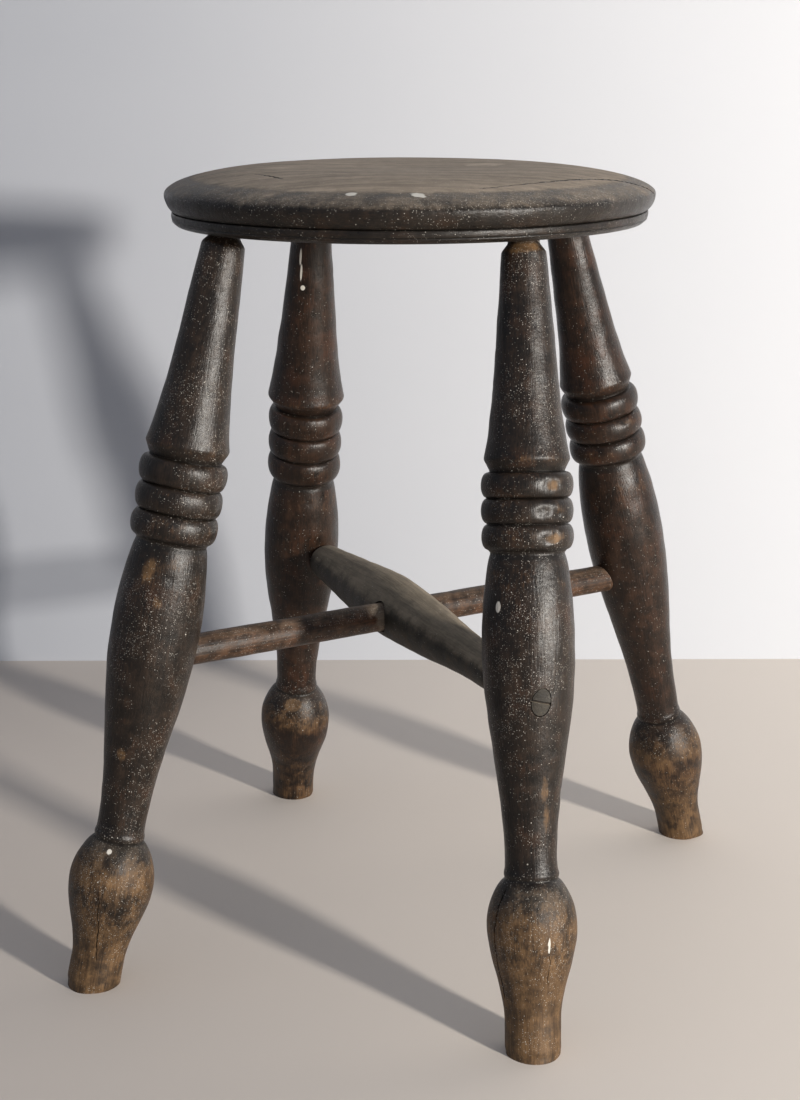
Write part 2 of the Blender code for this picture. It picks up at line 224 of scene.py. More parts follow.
def barrel_outline(reach, low, high):
    """The barrel between its shoulders, which lie at low and high along its own axis, with its tenons."""
    tenon = reach + TENON_REACH
    tenon_radius = TENON_HALF_WIDTH - TENON_GAP
    outline = [(-tenon, 0), (-tenon, tenon_radius), (low, tenon_radius)]
    for i in range(161):
        place = low + (high - low) * i / 160
        swell = max(math.cos(math.pi / 2 * (place + SWELL_SHIFT) / reach), 0) ** SWELL_POWER
        radius = BARREL_END_RADIUS + (BARREL_RADIUS - BARREL_END_RADIUS) * swell
        inside = max(min(place - low, high - place), 0)
        share = full_shoulder(min(inside / BARREL_ROUND, 1))
        outline.append((place, SHOULDER_RADIUS + (radius - SHOULDER_RADIUS) * share))
    return outline + [(high, tenon_radius), (tenon, tenon_radius), (tenon, 0)]


def resampled(outline, spacing, blur):
    """The outline with points at an even spacing, and its corners rounded over the length blur."""
    points = np.array(outline)
    run = np.concatenate([[0], np.cumsum(np.hypot(*np.diff(points, axis=0).T))])
    even = np.linspace(0, run[-1], int(run[-1] / spacing) + 1)
    result = np.stack([np.interp(even, run, points[:, i]) for i in (0, 1)])
    reach = int(3 * blur / spacing) + 1
    weights = np.exp(-0.5 * (np.arange(-reach, reach + 1) * spacing / blur) ** 2)
    padded = np.pad(result, ((0, 0), (reach, reach)), mode="reflect", reflect_type="odd")
    return [np.convolve(line, weights / weights.sum(), mode="valid") for line in padded]


# Frames


def polar(radius, azimuth, height):
    angle = math.radians(azimuth)
    return Vector((radius * math.cos(angle), radius * math.sin(angle), height))


def leg_ends(leg):
    socket_radius = SEAT_RADIUS - SOCKET_INSET + leg.socket_shift
    foot = polar(socket_radius + leg.splay, leg.foot_azimuth, 0)
    return foot, polar(socket_radius, leg.socket_azimuth, SEAT_UNDERSIDE)


def along(start, end):
    """The frame at start whose Z points to end, and whose X stays level."""
    z = (end - start).normalized()
    x = Vector((0, 0, 1)).cross(z).normalized()
    return Matrix.Translation(start) @ Matrix((x, z.cross(x), z)).transposed().to_4x4()


def stretcher_frame(first, second, rise=0, shifts=(0, 0)):
    """The frame in the middle of a stretcher, with Z to the second leg, and half the way between the legs."""
    points = []
    for name, side in ((first, -1), (second, 1)):
        foot, top = leg_ends(LEGS[name])
        points.append(foot.lerp(top, (STRETCHER_HEIGHT + side * rise / 2) / SEAT_UNDERSIDE))
    start, end = points
    sideways = (end - start).cross(Vector((0, 0, 1))).normalized()
    start, end = start + sideways * shifts[0], end + sideways * shifts[1]
    return along(start.lerp(end, 0.5), end), (end - start).length / 2


# Surface detail, worked out on whole arrays of points


def ripple(points, size, seed, waves=20):
    """Smooth random height with a spread of about one, whose bumps are about size across."""
    draw = np.random.default_rng(seed)
    directions = draw.normal(size=(waves, 3))
    waviness = math.pi / size * draw.uniform(0.6, 1.4, waves)
    directions *= (waviness / np.linalg.norm(directions, axis=1))[:, None]
    phases = draw.uniform(0, math.tau, waves)
    return np.sin(points @ directions.T + phases).sum(-1) * math.sqrt(2 / waves)


def smooth_step(low, high, value):
    share = np.clip((value - low) / (high - low), 0, 1)
    return share * share * (3 - 2 * share)


def hump(value, middle, half):
    return np.exp(-(((value - middle) / half) ** 2))


def wrapped(angle):
    return (angle + math.pi) % math.tau - math.pi


# A crack runs along the grain: its ends and the angles there, its width and its depth
Crack = namedtuple("Crack", "low high angle_low angle_high width depth")
CRACK_COLUMNS = (-1.6, -1, -0.6, -0.25, 0, 0.25, 0.6, 1, 1.6)  # points across a crack, in half widths
# A spot lies on a turned surface: its place, its size along the axis and around it, and its strength
Spot = namedtuple("Spot", "height angle tall wide strength")


def crack_path(crack, heights, seed):
    share = np.clip((heights - crack.low) / (crack.high - crack.low), 0, 1)
    angle = crack.angle_low + (crack.angle_high - crack.angle_low) * share
    wobble = 0.9 * np.sin(heights * 310 + seed) + 0.5 * np.sin(heights * 900 + 2 * seed)
    return np.radians(angle + wobble)


def crack_depth(crack, heights):
    share = (heights - crack.low) / (crack.high - crack.low)
    return crack.depth * np.clip(4 * share * (1 - share), 0, 1) ** 0.4 * ((share > 0) & (share < 1))


def columns_of(count, cracks, heights, radius):
    """Angles of a turned mesh's columns at each height, with extra columns that follow each crack."""
    angles = list(np.arange(count) * math.tau / count)
    for crack in cracks:
        middle = math.radians((crack.angle_low + crack.angle_high) / 2) % math.tau
        half = crack.width / 2 / radius
        angles = [a for a in angles if abs(wrapped(a - middle)) > 2 * half]
        angles += [(middle + half * share) % math.tau for share in CRACK_COLUMNS]
    angles = np.sort(np.array(angles))
    grid = np.repeat(angles[None, :], len(heights), axis=0)
    for seed, crack in enumerate(cracks):
        middle = math.radians((crack.angle_low + crack.angle_high) / 2)
        drift = crack_path(crack, heights, seed) - middle
        grid += drift[:, None] * np.clip(1 - np.abs(wrapped(angles - middle)) / 0.8, 0, 1)[None, :]
    return grid


def spot_field(spots, heights, angles, radii):
    """How strongly each point of a turned surface belongs to any of the spots."""
    field = np.zeros_like(angles)
    for spot in spots:
        around = wrapped(angles - math.radians(spot.angle)) * np.maximum(radii, 0.001) / spot.wide
        field += spot.strength * np.exp(-(((heights - spot.height) / spot.tall) ** 2) - around**2)
    return field


def random_dents(seed, count, low, high):
    draw = random.Random(seed)
    dents = []
    for _ in range(count):
        size = draw.uniform(0.0010, 0.0035)
        tall = size * draw.uniform(0.6, 1.6)
        dents.append(Spot(draw.uniform(low, high), draw.uniform(0, 360), tall, size, 0.12 * size))
    return dents


# Meshes


@contextmanager
def editing(mesh):
    """The mesh's points, edges and faces, open for editing."""
    shape = bmesh.new()
    shape.from_mesh(mesh)
    yield shape
    shape.to_mesh(mesh)
    shape.free()


def even_angles(columns, rows):
    return np.repeat(np.arange(columns)[None, :] * math.tau / columns, rows, axis=0)


def turned_points(heights, radii, angles):
    """Points of a turned surface. The arrays have a row for each height and a column for each angle."""
    return np.stack([radii * np.cos(angles), radii * np.sin(angles), heights], axis=-1)


def turned_surface(line, radius_line, angles):
    """The heights, radii and points of a turned surface from its outline and its columns' angles."""
    heights, radii = (np.repeat(values[:, None], angles.shape[1], axis=1) for values in (line, radius_line))
    return heights, radii, turned_points(heights, radii, angles)


def turned_mesh(name, heights, radii, angles):
    """A turned mesh, closed at both ends."""
    rows, columns = angles.shape
    points = turned_points(heights, radii, angles).reshape(-1, 3)
    index = np.arange(rows * columns).reshape(rows, columns)
    right = np.roll(index, -1, axis=1)
    faces = np.stack([index[:-1], right[:-1], right[1:], index[1:]], axis=-1).reshape(-1, 4).tolist()
    faces += [index[0][::-1].tolist(), index[-1].tolist()]
    mesh = bpy.data.meshes.new(name)
    mesh.from_pydata(points.tolist(), [], faces)
    return mesh


def give_fields(mesh, **fields):
    """Gives every point its worn bare wood with painted highlight on convex edges, its painted shade in creases
    and cracks, and its dust, specks and paint, each zero where it isn't given.
    """
    for name in ("wear", "crease", "dust", "specks", "paint"):
        values = np.zeros(len(mesh.vertices), np.float32)
        values[:] = np.ravel(fields.get(name, 0))
        mesh.attributes.new(name, "FLOAT", "POINT").data.foreach_set("value", values)


def shade_smooth(mesh):
    mesh.shade_smooth()
    mesh.set_sharp_from_angle(angle=math.radians(50))


def tidy_mesh(mesh):
    """Merges the points of collapsed rings, and makes the shading smooth."""
    with editing(mesh) as shape:
        bmesh.ops.remove_doubles(shape, verts=shape.verts, dist=1e-6)
        bmesh.ops.recalc_face_normals(shape, faces=shape.faces)
    shade_smooth(mesh)


def add_piece(name, mesh, matrix, material, slot, *nodes):
    """Moves a mesh from its own frame into the model's, and makes it stand for the CAD nodes."""
    tidy_mesh(mesh)
    mesh.transform(matrix)
    mesh.materials.append(material)
    piece = bpy.data.objects.new(name, mesh)
    bpy.context.scene.collection.objects.link(piece)
    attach(piece, "root")
    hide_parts(*nodes)
    return piece


def cut(piece, mesh, matrix):
    """Cuts a closed mesh out of a piece, and puts the result in the piece's own mesh."""
    cutter = bpy.data.objects.new("cutter", mesh)
    bpy.context.scene.collection.objects.link(cutter)
    cutter.matrix_world = matrix
    modifier = piece.modifiers.new("cut", "BOOLEAN")
    modifier.object, modifier.solver = cutter, "EXACT"
    bpy.context.view_layer.update()
    evaluated = piece.evaluated_get(bpy.context.evaluated_depsgraph_get())
    result = bpy.data.meshes.new_from_object(evaluated)
    piece.modifiers.clear()
    piece.data = result
    bpy.data.objects.remove(cutter)


# Materials


class Tree:
    """Builds one material's nodes in few words."""

    def __init__(self, name):
        self.material = bpy.data.materials.new(name)
        self.material.use_nodes = True
        self.nodes = self.material.node_tree.nodes
        self.links = self.material.node_tree.links
        self.shader = self.nodes["Principled BSDF"]

    def add(self, kind, inputs=None, **settings):
        made = self.nodes.new("ShaderNode" + kind)
        for key, value in settings.items():
            setattr(made, key, value)
        for key, value in (inputs or {}).items():
            self.set(made, key, value)
        return made

    def set(self, made, key, value):
        if isinstance(value, bpy.types.NodeSocket):
            self.links.new(value, made.inputs[key])
        else:
            made.inputs[key].default_value = value

    def math(self, operation, first, second=0.0):
        return self.add("Math", {0: first, 1: second}, operation=operation).outputs[0]

    def step(self, value, low, high):
        """0 below low and 1 above high, with a smooth way between. low may lie above high."""
        inputs = {"Value": value, "From Min": low, "From Max": high}
        return self.add("MapRange", inputs, interpolation_type="SMOOTHSTEP").outputs[0]

    def mix(self, share, first, second):
        return self.add("Mix", {0: share, 6: first, 7: second}, data_type="RGBA").outputs[2]

    def number(self, share, first, second):
        return self.add("Mix", {0: share, 2: first, 3: second}, data_type="FLOAT").outputs[0]

    def noise(self, vector, scale, detail=3.0, roughness=0.55):
        inputs = {"Vector": vector, "Scale": scale, "Detail": detail, "Roughness": roughness}
        return self.add("TexNoise", inputs).outputs["Fac"]

    def total(self, *parts):
        """The sum of values, each times its own weight."""
        result = 0.0
        for value, weight in parts:
            result = self.add("Math", {0: value, 1: weight, 2: result}, operation="MULTIPLY_ADD").outputs[0]
        return result

    def field(self, name):
        return self.add("Attribute", attribute_name=name).outputs["Fac"]


def specks(tree, vector, scale, radius, share):
    """Small round drops: one in some cells of a lattice, each with its own size."""
    cells = tree.add("TexVoronoi", {"Vector": vector, "Scale": scale})
    colour = tree.add("SeparateColor", {0: cells.outputs["Color"]})
    size = tree.math("MULTIPLY", tree.math("ADD", colour.outputs[1], 0.35), radius)
    drop = tree.step(tree.math("SUBTRACT", cells.outputs["Distance"], size), 0.04, -0.04)
    strength = tree.math("ADD", tree.math("MULTIPLY", colour.outputs[2], 0.75), 0.25)
    chosen = tree.math("LESS_THAN", colour.outputs[0], share)
    return tree.math("MULTIPLY", tree.math("MULTIPLY", drop, strength), chosen)


FINISH_VALUES = "grain_axis dark light bare bare_light dust dust_amount speck_amount gloss bump"
Finish = namedtuple("Finish", FINISH_VALUES)
PAINT = (0.58, 0.55, 0.49, 1)
# Dark colour for random grime, and also painted shade in creases and cracks
DIRT_AND_SHADE = (0.006, 0.005, 0.004, 1)


def aged_wood(name, finish, matrix):
    """Stained wood with grain, worn bare places that on convex edges are also painted highlight, random grime
    with painted shade darkening creases and cracks, dust on what faces up, and drops of old paint.

    The matrix is the frame in which the wood was turned, which carries the grain.
    """
    tree = Tree(name)
    place = tree.add("TexCoord").outputs["Object"]
    back = matrix.inverted()
    turned = {"Vector": place, "Location": back.to_translation(), "Rotation": back.to_euler()}
    place = tree.add("Mapping", turned).outputs[0]
    stretch = [1.0, 1.0, 1.0]
    stretch[finish.grain_axis] = 0.05
    grain_place = tree.add("Mapping", {"Vector": place, "Scale": stretch}).outputs[0]
    fibres = tree.noise(grain_place, 900, 4, 0.65)
    bands = tree.noise(grain_place, 160, 2)
    blotches = tree.noise(place, 42, 5, 0.62)
    mottle = tree.noise(place, 110, 5, 0.68)
    clouds = tree.noise(place, 14, 3)
    fine = tree.noise(place, 520, 3, 0.6)

    tone = tree.total((fibres, 0.40), (clouds, 0.30), (mottle, 0.40))
    colour = tree.mix(tree.step(tone, 0.40, 0.72), finish.dark, finish.light)
    red = tuple(c * tint for c, tint in zip(finish.light, (1.25, 0.92, 0.72, 1)))
    reddish = tree.step(tree.total((blotches, 0.6), (mottle, 0.2), (fibres, 0.2)), 0.50, 0.66)
    colour = tree.mix(tree.math("MULTIPLY", reddish, 0.7), colour, red)

    # Worn bare wood; on convex edges this is partly a painted highlight
    ragged = tree.total((blotches, 0.45), (fibres, 0.35), (mottle, 0.50), (tree.field("wear"), 1))
    wear = tree.step(ragged, 0.94, 1.38)
    grain_tone = tree.total((fibres, 0.9), (mottle, 0.5), (bands, 0.6))
    bare = tree.mix(tree.step(grain_tone, 0.70, 1.30), finish.bare, finish.bare_light)
    colour = tree.mix(wear, colour, bare)

    facing = tree.add("SeparateXYZ", {0: tree.add("NewGeometry").outputs["Normal"]}).outputs[2]
    facing = tree.step(facing, 0.05, 0.85)
    dust_field = tree.field("dust")
    settling = ((facing, finish.dust_amount), (dust_field, 1), (blotches, 0.4), (mottle, 0.25), (fine, 0.3))
    dust = tree.step(tree.total(*settling), 0.58, 1.25)
    streaks = tree.step(tree.total((bands, 0.5), (fibres, 0.5)), 0.34, 0.62)
    dusty = tree.mix(streaks, tuple(0.62 * c for c in finish.dust[:3]) + (1,), finish.dust)
    pale = tuple(1.55 * c for c in finish.dust[:3]) + (1,)
    dusty = tree.mix(tree.math("MULTIPLY", tree.step(dust_field, 1.1, 1.9), 0.6), dusty, pale)
    colour = tree.mix(dust, colour, dusty)

    # Random grime, plus painted shade that darkens the creases and cracks
    grime_and_shade = tree.step(tree.total((mottle, 0.6), (blotches, 0.4)), 0.56, 0.40)
    grime_and_shade = tree.math("MULTIPLY", grime_and_shade, tree.number(dust, 0.45, 0.16))
    grime_and_shade = tree.math("MAXIMUM", grime_and_shade, tree.step(tree.field("crease"), 0.1, 0.9))
    colour = tree.mix(grime_and_shade, colour, DIRT_AND_SHADE)

    flecked = tree.step(tree.total((clouds, 0.5), (blotches, 0.5)), 0.40, 0.62)
    density = tree.math("MULTIPLY", flecked, finish.speck_amount)
    density = tree.math("ADD", density, tree.field("specks"))
    few = tree.math("MULTIPLY", density, 0.25)
    drops = tree.math("MULTIPLY", specks(tree, place, 1250, 0.27, tree.math("MULTIPLY", density, 1.4)), 0.7)
    drops = tree.math("MAXIMUM", drops, specks(tree, place, 640, 0.17, tree.math("MULTIPLY", density, 0.7)))
    drops = tree.math("MAXIMUM", drops, specks(tree, place, 250, 0.09, few))
    drops = tree.math("MULTIPLY", drops, tree.step(fine, 0.20, 0.45))
    paint = tree.math("MAXIMUM", tree.math("MULTIPLY", drops, 0.9), tree.step(tree.field("paint"), 0.35, 0.6))
    colour = tree.mix(paint, colour, PAINT)

    rough = tree.total((fine, 0.16), (mottle, 0.30), (fibres, 0.10))
    rough = tree.math("ADD", rough, finish.gloss - 0.20)
    rough = tree.number(wear, rough, 0.58)
    rough = tree.number(dust, rough, 0.88)
    rough = tree.number(paint, rough, 0.6)

    relief = tree.total((fibres, 0.6), (fine, 0.30), (mottle, 0.8), (paint, 0.35), (dust, 0.25))
    bump = tree.add("Bump", {"Strength": finish.bump, "Distance": 0.0009, "Height": relief})

    tree.set(tree.shader, "Base Color", colour)
    tree.set(tree.shader, "Roughness", rough)
    tree.shader.inputs["Specular IOR Level"].default_value = 0.30
    tree.set(tree.shader, "Normal", bump.outputs[0])
    return tree.material


def rgb(red, green, blue):
    return (red, green, blue, 1)


BARE_FOOT = rgb(0.062, 0.033, 0.0140)
BARE_LIGHT = rgb(0.155, 0.089, 0.040)
LEG_DUST = rgb(0.15, 0.12, 0.088)
FINISHES = {
    "seat": Finish(0, rgb(0.007, 0.0052, 0.004), rgb(0.020, 0.0145, 0.0102), rgb(0.085, 0.060, 0.040),
                   rgb(0.13, 0.10, 0.07), rgb(0.350, 0.284, 0.216), 0.22, 0.22, 0.26, 0.55),
    "front_leg": Finish(2, rgb(0.007, 0.005, 0.0038), rgb(0.031, 0.0195, 0.0125), BARE_FOOT, BARE_LIGHT,
                        LEG_DUST, 0.13, 0.60, 0.27, 0.5),
    "back_leg": Finish(2, rgb(0.008, 0.0046, 0.003), rgb(0.036, 0.018, 0.0100), BARE_FOOT, BARE_LIGHT,
                       LEG_DUST, 0.08, 0.12, 0.26, 0.45),
    "barrel": Finish(2, rgb(0.022, 0.0185, 0.0135), rgb(0.046, 0.039, 0.029), rgb(0.09, 0.07, 0.05),
                     rgb(0.14, 0.11, 0.08), rgb(0.290, 0.240, 0.176), 0.74, 0.10, 0.5, 0.55),
    "rod": Finish(2, rgb(0.016, 0.009, 0.006), rgb(0.090, 0.047, 0.025), rgb(0.14, 0.074, 0.038),
                  rgb(0.23, 0.14, 0.080), rgb(0.22, 0.17, 0.125), 0.30, 0.30, 0.36, 0.5),
    "wedge": Finish(2, rgb(0.010, 0.007, 0.005), rgb(0.026, 0.017, 0.011), rgb(0.08, 0.05, 0.03),
                    rgb(0.12, 0.09, 0.06), rgb(0.12, 0.10, 0.08), 0.1, 0.02, 0.6, 0.4),
}

# What time did to each leg, by height along it and angle around it
CRACKS = {
    "front_right": [Crack(0.036, 0.106, 19, 33, 0.0011, 0.0035),
                    Crack(0.047, 0.067, 109, 107, 0.0004, 0.0009)],
    "front_left": [Crack(0.022, 0.074, 150, 139, 0.0006, 0.0018)],
    "back_left": [],
    "back_right": [],
}
CHIPS = {
    "front_right": [Spot(0.3574, 117, 0.0045, 0.006, 1), Spot(0.3410, 106, 0.0035, 0.005, 0.8),
                    Spot(0.3238, 116, 0.0045, 0.006, 1), Spot(0.3400, 128, 0.0035, 0.004, 0.8),
                    Spot(0.0930, 70, 0.004, 0.004, 0.3)],
    "front_left": [Spot(0.3270, 60, 0.004, 0.006, 0.6), Spot(0.0900, 100, 0.004, 0.005, 0.3)],
    "back_left": [Spot(0.0982, -109, 0.003, 0.004, 0.9)],
    "back_right": [Spot(0.3600, 0, 0.004, 0.006, 0.5)],
}
FOOT_WEAR = {"front_right": 0.57, "front_left": 0.46, "back_left": 0.27, "back_right": 0.42}
BARE_SPOTS = {
    "front_right": [Spot(0.1690, 111, 0.010, 0.003, 0.75), Spot(0.1500, 117, 0.009, 0.003, 0.75),
                    Spot(0.0400, 95, 0.018, 0.012, 0.35), Spot(0.3574, 117, 0.003, 0.004, 0.5),
                    Spot(0.3238, 118, 0.003, 0.004, 0.6), Spot(0.5045, 78, 0.0035, 0.009, 1.2)],
    "front_left": [Spot(0.2891, 128, 0.006, 0.004, 0.7), Spot(0.1650, 129, 0.007, 0.004, 0.7),
                   Spot(0.2700, 150, 0.004, 0.003, 0.5)],
    "back_left": [Spot(0.0982, -109, 0.0035, 0.0045, 1.4)],
    "back_right": [Spot(0.0060, 26, 0.005, 0.005, 0.6)],
}
PAINT_SPOTS = {
    "front_right": [Spot(0.2828, 41, 0.0034, 0.0018, 1.4), Spot(0.0735, 106, 0.0045, 0.0006, 1.6)],
    "front_left": [Spot(0.0985, 140, 0.0016, 0.0018, 1.2)],
    "back_left": [Spot(0.4760, -132, 0.0060, 0.0008, 1.4), Spot(0.4640, -127, 0.0060, 0.0008, 1.4),
                  Spot(0.4530, -120, 0.0016, 0.0016, 1.6)],
    "back_right": [],
}


def make_leg(name, leg, seed):
    foot, top = leg_ends(leg)
    matrix = along(foot, top)
    finish = FINISHES["front_leg" if name.startswith("front") else "back_leg"]
    material = aged_wood("leg_" + name + "_finish", finish, matrix)
    length = (top - foot).length
    line, radius_line = resampled(leg_outline(leg, length), 0.0012, 0.0007)
    cracks = CRACKS[name]
    angles = columns_of(128, cracks, line, BULB_RADIUS * 0.9)
    heights, radii, points = turned_surface(line, radius_line, angles)

    # How far the outline bulges past its smoothed self: convex edges get worn bare wood that is partly painted
    # highlight, and concave grooves get painted shade
    _, broad = resampled(list(zip(line, radius_line)), line[1] - line[0], 0.004)
    broad = np.interp(line, np.linspace(line[0], line[-1], len(broad)), broad)
    edge = np.clip((radius_line - broad) / 0.0008, -1, 1)[:, None] * np.ones_like(radii)

    chips = spot_field(CHIPS[name], heights, angles, radii)
    dents = spot_field(random_dents(seed, 60, 0.0, length), heights, angles, radii)
    shape = 0.00022 * ripple(points, 0.045, seed) + 0.00009 * ripple(points, 0.010, seed + 1)
    chipped = 0.0016 * chips * (1 + 0.3 * ripple(points, 0.003, seed + 2))
    shape += 0.0003 * np.cos(2 * angles + seed) - dents - chipped
    worn_foot = smooth_step(0.0035, 0.0, heights) * (0.0009 + 0.0004 * ripple(points, 0.012, seed + 3))
    shape -= np.maximum(worn_foot, 0) + 0.0006 * smooth_step(0.120, 0.090, heights)
    # Each crack is cut into the surface, and its depth also sets painted shade along it
    crease = np.zeros_like(radii)
    for number, crack in enumerate(cracks):
        across = wrapped(angles - crack_path(crack, line, number)[:, None]) * radii / (crack.width / 2)
        deep = crack_depth(crack, line)[:, None] * np.clip(1 - np.abs(across), 0, 1) ** 0.8
        shape -= deep
        crease = np.maximum(crease, deep / 0.0008)

    bare = FOOT_WEAR[name] * smooth_step(0.106, 0.074, heights) + 0.16 * smooth_step(0.065, 0.030, heights)
    # Worn bare wood on the feet, the spots and the top, and lighter convex edges that are partly painted
    # highlight
    wear = bare + 0.30 * np.clip(edge, 0, 1) + spot_field(BARE_SPOTS[name], heights, angles, radii)
    wear += 0.12 * smooth_step(length - 0.010, length - 0.006, heights)
    mesh = turned_mesh("leg_" + name, heights, radii + shape, angles)
    give_fields(
        mesh,
        wear=wear + 0.25 * chips,
        # Painted shade along the cracks and in the concave grooves of the outline
        crease=np.clip(crease, 0, 1) + 0.75 * np.clip(-edge - 0.15, 0, 1),
        dust=0.20 * smooth_step(0.070, 0.100, heights) * smooth_step(0.112, 0.104, heights),
        specks=0.25 * smooth_step(0.075, 0.095, heights) * smooth_step(0.125, 0.110, heights),
        paint=spot_field(PAINT_SPOTS[name], heights, angles, radii),
    )
    stand_on_floor(mesh, matrix)
    return add_piece("leg_" + name + "_look", mesh, matrix, material, "leg_wood", "leg_" + name)


def stand_on_floor(mesh, matrix):
    """Cuts the leg off level with the floor."""
    to_mesh = matrix.inverted()
    plane = {"plane_co": to_mesh @ Vector((0, 0, 0)), "plane_no": to_mesh.to_3x3() @ Vector((0, 0, -1))}
    with editing(mesh) as shape:
        geometry = shape.verts[:] + shape.edges[:] + shape.faces[:]
        cut_line = bmesh.ops.bisect_plane(shape, geom=geometry, clear_outer=True, **plane)["geom_cut"]
        bmesh.ops.edgeloop_fill(shape, edges=[e for e in cut_line if isinstance(e, bmesh.types.BMEdge)])


# The seat's long crack, across its right side to the rim, and a shorter one at its front left.
# Each has a width, a depth and the points that it passes, in the model's frame.
SEAT_CRACKS = (
    (0.0032, 0.0060, ((0.0807, -0.1120, 0.5308), (0.0920, -0.0980, 0.5315), (0.1106, -0.0690, 0.5322),
                      (0.1278, -0.0366, 0.5318), (0.1378, -0.0178, 0.5307), (0.1476, -0.0041, 0.5286),
                      (0.1544, 0.0019, 0.5265), (0.1612, 0.0076, 0.5232), (0.1645, 0.0150, 0.5180))),
    (0.0018, 0.0030, ((-0.0770, -0.0840, 0.5343), (-0.0625, -0.0955, 0.5342), (-0.0487, -0.1085, 0.5337))),
)


def crown_normal(point):
    radial = Vector((point.x, point.y, 0))
    out = (radial.length - CROWN_RADIUS) / (SEAT_RADIUS - CROWN_RADIUS) ** 2
    up = (point.z - SEAT_UNDERSIDE - RIM_MIDDLE) / (CROWN_HEIGHT - RIM_MIDDLE) ** 2
    return (radial.normalized() * out + Vector((0, 0, up))).normalized()


def crown_point(point):
    """The nearest point to this one on the domed top, going straight along its normal."""
    for _ in range(4):
        normal = crown_normal(point)
        out = (math.hypot(point.x, point.y) - CROWN_RADIUS) / (SEAT_RADIUS - CROWN_RADIUS)
        up = (point.z - SEAT_UNDERSIDE - RIM_MIDDLE) / (CROWN_HEIGHT - RIM_MIDDLE)
        point = point + normal * (1 - math.hypot(out, up)) * (CROWN_HEIGHT - RIM_MIDDLE) * 0.9
    return point


def catmull(points, steps):
    """A smooth line through the points."""
    line = [Vector(p) for p in points]
    line = [2 * line[0] - line[1]] + line + [2 * line[-1] - line[-2]]
    result = []
    for a, b, c, d in zip(line, line[1:], line[2:], line[3:]):
        for i in range(steps):
            t = i / steps
            point = 2 * b + (c - a) * t + (2 * a - 5 * b + 4 * c - d) * t**2
            result.append(0.5 * (point + (3 * b - a - 3 * c + d) * t**3))
    return result + [line[-2]]


def blade_mesh(points, width, depth):
    """A thin wedge that follows a line over the seat's top, to cut a crack."""
    path = [crown_point(p) for p in catmull(points, 8)]
    mesh = bpy.data.meshes.new("blade")
    corners, faces = [], []
    for i, point in enumerate(path):
        forward = (path[min(i + 1, len(path) - 1)] - path[max(i - 1, 0)]).normalized()
        normal = crown_normal(point)
        side = forward.cross(normal).normalized()
        share = min(0.25 + 1.1 * i / len(path), 0.3 + 3 * (len(path) - 1 - i) / len(path))
        half = width * share * (1 + 0.25 * math.sin(1.7 * i)) / 2
        wander = side * 0.0005 * math.sin(2.3 * i)
        over = point + normal * 0.001 + wander
        wide = side * half * 1.25
        corners += [over - wide, over + wide, point - normal * depth * share + wander]
    for i in range(len(path) - 1):
        a, b = 3 * i, 3 * (i + 1)
        faces += [(a, a + 1, b + 1, b), (a + 1, a + 2, b + 2, b + 1), (a + 2, a, b, b + 2)]
    last = 3 * (len(path) - 1)
    mesh.from_pydata(corners, [], faces + [(2, 1, 0), (last, last + 1, last + 2)])
    with editing(mesh) as shape:
        bmesh.ops.triangulate(shape, faces=shape.faces)
        bmesh.ops.recalc_face_normals(shape, faces=shape.faces)
    return mesh


# Places on the seat in the model's frame, each with its reach along and across the grain, and its strength
PALE_PATCHES = (
    ((0.044, 0.030, 0.536), 0.013, 0.013, 1.6), ((-0.0755, -0.047, 0.536), 0.016, 0.018, 1.0),
    ((-0.064, -0.103, 0.533), 0.010, 0.008, 0.7), ((0.010, -0.128, 0.532), 0.060, 0.004, 0.4),
)
PAINT_BLOTS = (
    ((0.0096, -0.1469, 0.5287), 0.0042, 0.0030, 1.2), ((0.0496, -0.1396, 0.5284), 0.0046, 0.0030, 1.2),
)


def blots(places, points):
    """How strongly each point of the seat belongs to a list of blots."""
    field = np.zeros(points.shape[:2])
    turned = Matrix.Rotation(-CAMERA_TURN, 3, "Z")
    for place, wide, deep, strength in places:
        offset = points - np.array(turned @ Vector(place))
        size = ((offset / (wide, deep, wide + deep)) ** 2).sum(-1)
        uneven = np.clip(1 + 0.35 * ripple(points, (wide + deep) / 4, 77), 0.4, 2)
        field += strength * np.exp(-size * uneven)
    return field


